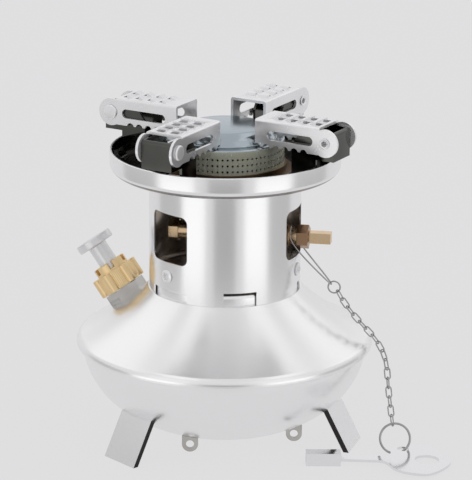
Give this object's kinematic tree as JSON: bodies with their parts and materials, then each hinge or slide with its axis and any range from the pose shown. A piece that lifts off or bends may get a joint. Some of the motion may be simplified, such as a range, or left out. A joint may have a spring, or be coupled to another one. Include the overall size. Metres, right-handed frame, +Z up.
{
  "type": "camping pressure stove",
  "caption": "Saucer-shaped steel pressure stove with folding serrated pot supports, ring burner, pump filler and a valve key on a chain.",
  "frame": {"origin": "on the ground under the middle of the stove, key and chain left out", "axes": "+Z up, +X to the right in the front view (towards the valve), +Y to the back"},
  "size_m": [0.1638, 0.13, 0.1482],
  "materials": {
    "satin_steel": "satin stainless",
    "polished_steel": "polished",
    "tray_steel": "satin outside, bright inside",
    "arm_steel": "polished pressed sheet",
    "bracket_steel": "polished folded sheet",
    "ring_steel": "yellowish plated",
    "cap_chrome": "bright plated, pale blue-grey disc",
    "burner_brass": "dull cast",
    "valve_brass": "machined",
    "cap_brass": "machined and knurled",
    "inner_brass": "drawn tube",
    "pump_steel": "turned bright",
    "packing": "oiled",
    "chain_steel": "bright wire",
    "key_steel": "bright plated"
  },
  "bodies": {
    "stove": {"tank_upper": "satin_steel", "tank_lower": "satin_steel", "base_eyelets": "polished_steel", "burner_housing": "satin_steel", "housing_screws": "polished_steel", "drip_tray": "tray_steel", "burner_bowl": "burner_brass", "flame_ring": "ring_steel", "burner_cap": "cap_chrome", "vaporizer_stem": "valve_brass", "barrel_plug": "valve_brass", "gland_packing": "packing", "gland_nut": "valve_brass", "jet_nipple": "valve_brass", "fuel_tube": "inner_brass", "filler_base": "polished_steel", "pump_barrel": "inner_brass", "check_valve": "inner_brass", "chain_clip": "chain_steel", "key_chain": "chain_steel", "key_ring": "chain_steel", "valve_key": "key_steel", "foot_left": "polished_steel", "foot_right": "polished_steel", "foot_rear": "polished_steel", "arm_bracket_front_right": "bracket_steel", "arm_pin_front_right": "polished_steel", "arm_bracket_back_right": "bracket_steel", "arm_pin_back_right": "polished_steel", "arm_bracket_back_left": "bracket_steel", "arm_pin_back_left": "polished_steel", "arm_bracket_front_left": "bracket_steel", "arm_pin_front_left": "polished_steel"},
    "arm_front_right": {"pot_arm_front_right": "arm_steel"},
    "arm_back_right": {"pot_arm_back_right": "arm_steel"},
    "arm_back_left": {"pot_arm_back_left": "arm_steel"},
    "arm_front_left": {"pot_arm_front_left": "arm_steel"},
    "cap": {"filler_cap": "cap_brass"},
    "plunger": {"pump_plunger": "pump_steel", "pump_piston": "packing"},
    "spindle": {"valve_spindle": "valve_brass"}
  },
  "joints": [
    {"name": "arm_front_right_fold", "type": "hinge", "parent": "stove", "child": "arm_front_right", "pos_m": [0.0459, -0.0265, 0.1405], "axis": [0.5, 0.866, 0], "range_deg": [0, 165]},
    {"name": "arm_back_right_fold", "type": "hinge", "parent": "stove", "child": "arm_back_right", "pos_m": [0.0265, 0.0459, 0.1405], "axis": [-0.866, 0.5, 0], "range_deg": [0, 165]},
    {"name": "arm_back_left_fold", "type": "hinge", "parent": "stove", "child": "arm_back_left", "pos_m": [-0.0459, 0.0265, 0.1405], "axis": [-0.5, -0.866, 0], "range_deg": [0, 165]},
    {"name": "arm_front_left_fold", "type": "hinge", "parent": "stove", "child": "arm_front_left", "pos_m": [-0.0265, -0.0459, 0.1405], "axis": [0.866, -0.5, 0], "range_deg": [0, 165]},
    {"name": "filler_cap_turn", "type": "hinge", "parent": "stove", "child": "cap", "pos_m": [-0.04229, 0.01539, 0.0576], "axis": [-0.5523, 0.201, 0.809], "range_deg": [0, 1080]},
    {"name": "pump_stroke", "type": "slide", "parent": "cap", "child": "plunger", "axis": [-0.5523, 0.201, 0.809], "range_m": [-0.0085, 0.022]},
    {"name": "valve_turn", "type": "hinge", "parent": "stove", "child": "spindle", "pos_m": [0.02954, -0.00521, 0.0917], "axis": [0.9848, -0.1736, 0], "range_deg": [-90, 360]}
  ]
}
